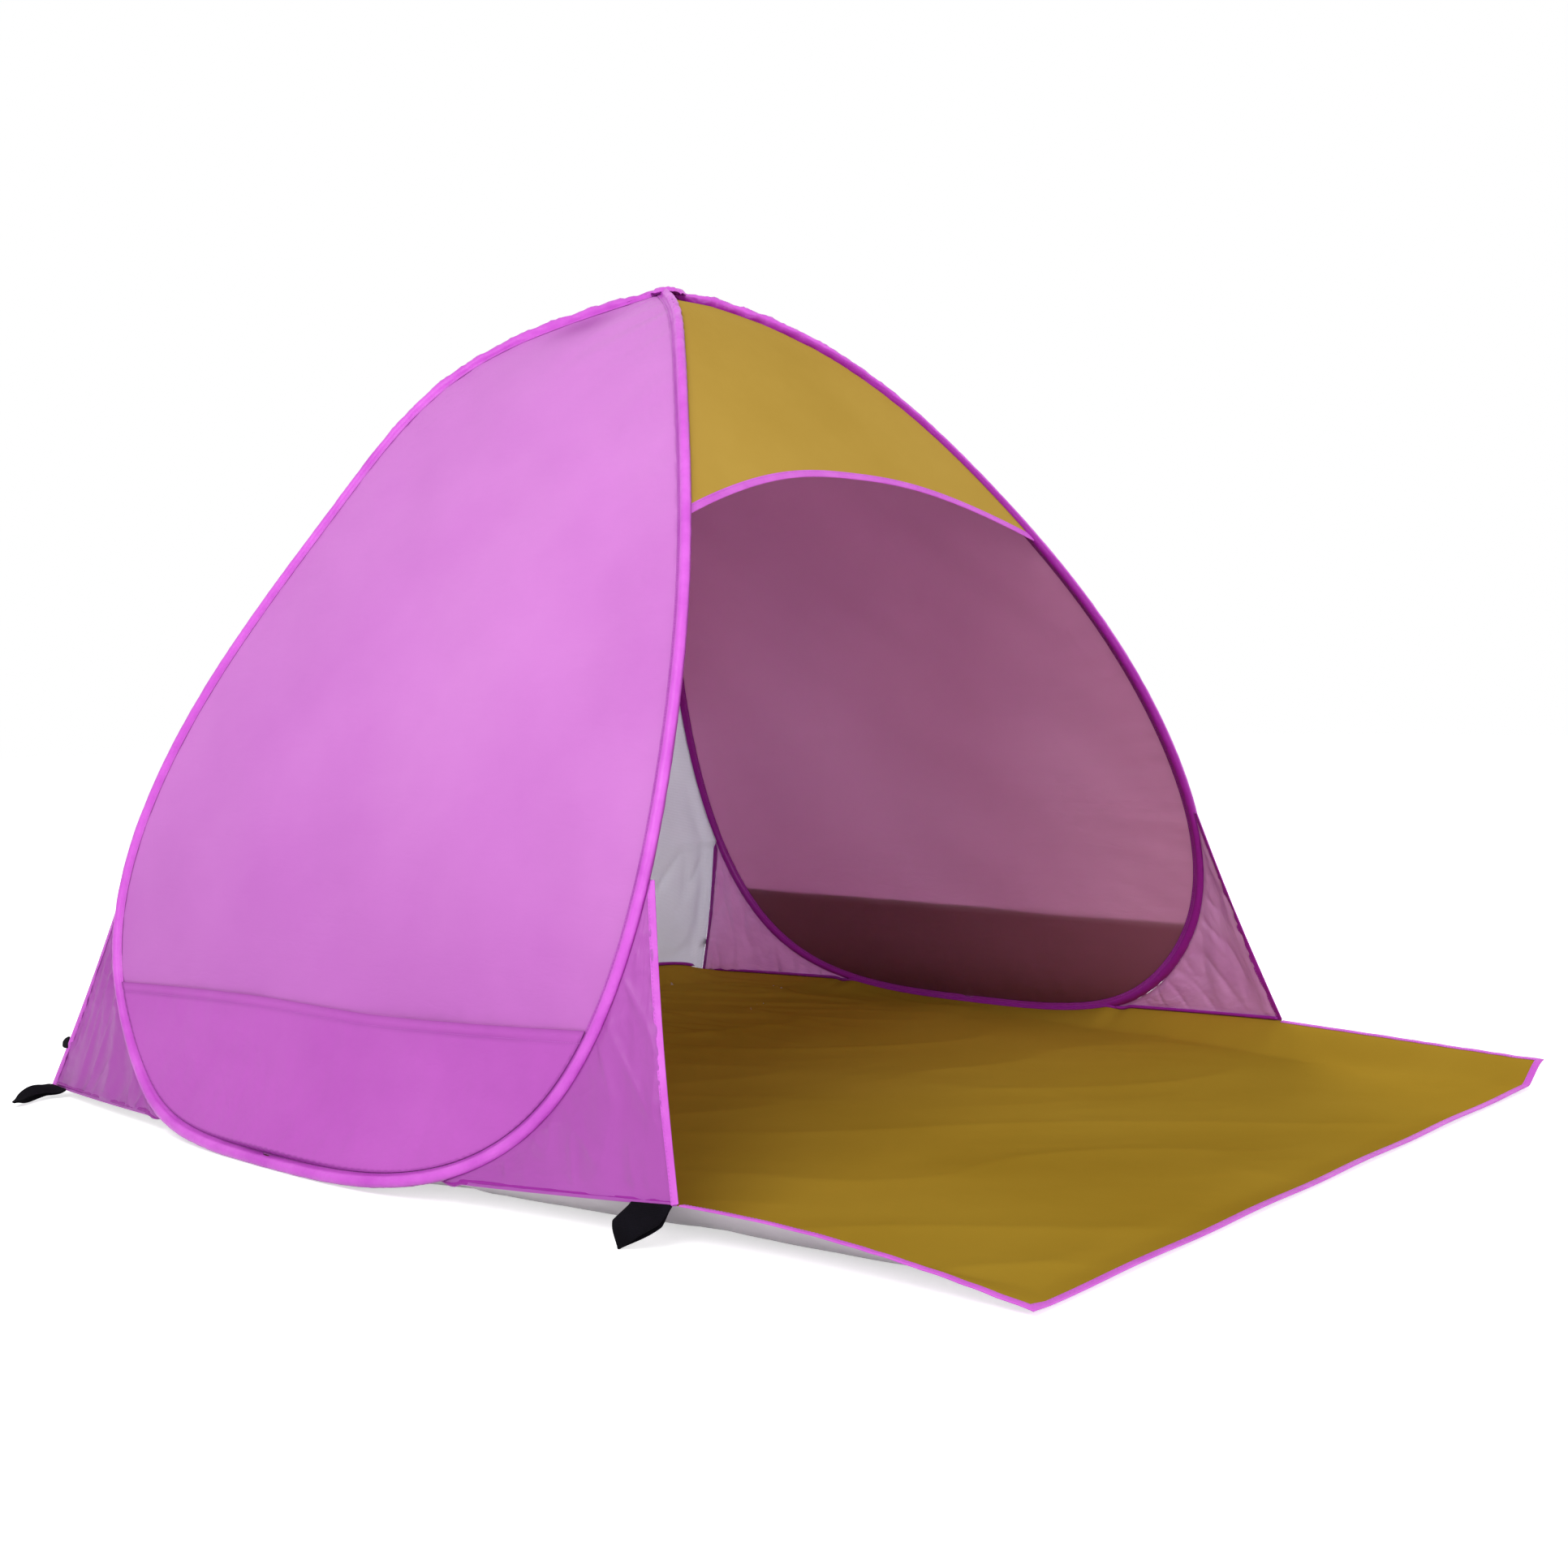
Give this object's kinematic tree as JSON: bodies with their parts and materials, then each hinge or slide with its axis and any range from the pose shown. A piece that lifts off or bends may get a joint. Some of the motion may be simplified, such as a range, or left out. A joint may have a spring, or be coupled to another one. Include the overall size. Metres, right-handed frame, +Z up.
{
  "type": "pop-up beach tent",
  "caption": "Pop-up beach shelter: leaf-shaped spring-hoop sides, arched doorway, rear window, floor that runs out as an apron, webbing peg loops.",
  "frame": {"origin": "on the ground under the apex, on the flat underside of the floor sheet", "axes": "+Z up; the doorway and the apron face -Y; +X is to the right for someone who looks along +Y"},
  "size_m": [1.446, 1.5696, 1.1],
  "materials": {
    "spring_steel": "bare spring steel, satin",
    "crimp_metal": "plain crimped steel tube",
    "pink_polyester": "thin woven polyester, semi-matt, slightly translucent",
    "coated_pink_polyester": "coated polyester, glossy with fine creases",
    "pink_binding_tape": "glossy folded polyester tape",
    "gold_polyester": "thin woven polyester, semi-matt",
    "gold_floor_cloth": "coated floor cloth, gold above and silver-grey below",
    "grey_mesh": "fine light-grey mesh",
    "black_webbing": "woven polypropylene webbing, matt"
  },
  "bodies": {
    "left_side": {"left_hoop_wire": "spring_steel", "left_wire_ferrule": "crimp_metal", "left_hoop_sleeve": "pink_binding_tape", "left_side_panel": "pink_polyester", "left_sand_pocket": "pink_polyester", "left_seam_tab": "black_webbing", "front_left_gusset": "coated_pink_polyester", "front_left_gusset_binding": "pink_binding_tape", "rear_left_gusset": "coated_pink_polyester", "rear_left_gusset_binding": "pink_binding_tape", "apex_cap": "pink_binding_tape", "front_upper_panel": "gold_polyester", "doorway_binding": "pink_binding_tape", "rear_upper_panel": "gold_polyester", "rear_window_mesh": "grey_mesh", "rear_window_flap": "pink_polyester", "left_flap_tie": "black_webbing", "right_flap_tie": "black_webbing", "floor_sheet": "gold_floor_cloth", "apron_binding": "pink_binding_tape"},
    "right_side": {"right_hoop_wire": "spring_steel", "right_wire_ferrule": "crimp_metal", "right_hoop_sleeve": "pink_binding_tape", "right_side_panel": "pink_polyester", "right_sand_pocket": "pink_polyester", "right_seam_tab": "black_webbing", "front_right_gusset": "coated_pink_polyester", "front_right_gusset_binding": "pink_binding_tape", "rear_right_gusset": "coated_pink_polyester", "rear_right_gusset_binding": "pink_binding_tape"},
    "front_left_loop": {"front_left_peg_loop": "black_webbing"},
    "rear_left_loop": {"rear_left_peg_loop": "black_webbing"},
    "front_right_loop": {"front_right_peg_loop": "black_webbing"},
    "rear_right_loop": {"rear_right_peg_loop": "black_webbing"}
  },
  "joints": [
    {"name": "frame_fold", "type": "hinge", "parent": "left_side", "child": "right_side", "pos_m": [0, 0, 1.072], "axis": [0, 1, 0], "range_deg": [0, 60], "stiffness_Nm_per_rad": 6, "springref_deg": -57.3, "deforming": ["front_upper_panel", "doorway_binding", "rear_upper_panel", "rear_window_mesh", "rear_window_flap", "left_flap_tie", "right_flap_tie", "floor_sheet", "apron_binding"]},
    {"name": "front_left_loop_swing", "type": "hinge", "parent": "left_side", "child": "front_left_loop", "pos_m": [-0.62885, -0.57826, 0.04288], "axis": [-0.1776, 0.9825, -0.0564], "range_deg": [0, 150]},
    {"name": "rear_left_loop_swing", "type": "hinge", "parent": "left_side", "child": "rear_left_loop", "pos_m": [-0.64731, 0.55618, 0.01129], "axis": [0.1257, 0.9918, -0.0227], "range_deg": [0, 95]},
    {"name": "front_right_loop_swing", "type": "hinge", "parent": "right_side", "child": "front_right_loop", "pos_m": [0.62885, -0.57826, 0.04288], "axis": [-0.1776, -0.9825, 0.0564], "range_deg": [0, 150]},
    {"name": "rear_right_loop_swing", "type": "hinge", "parent": "right_side", "child": "rear_right_loop", "pos_m": [0.64731, 0.55618, 0.01129], "axis": [0.1257, -0.9918, 0.0227], "range_deg": [0, 95]}
  ]
}
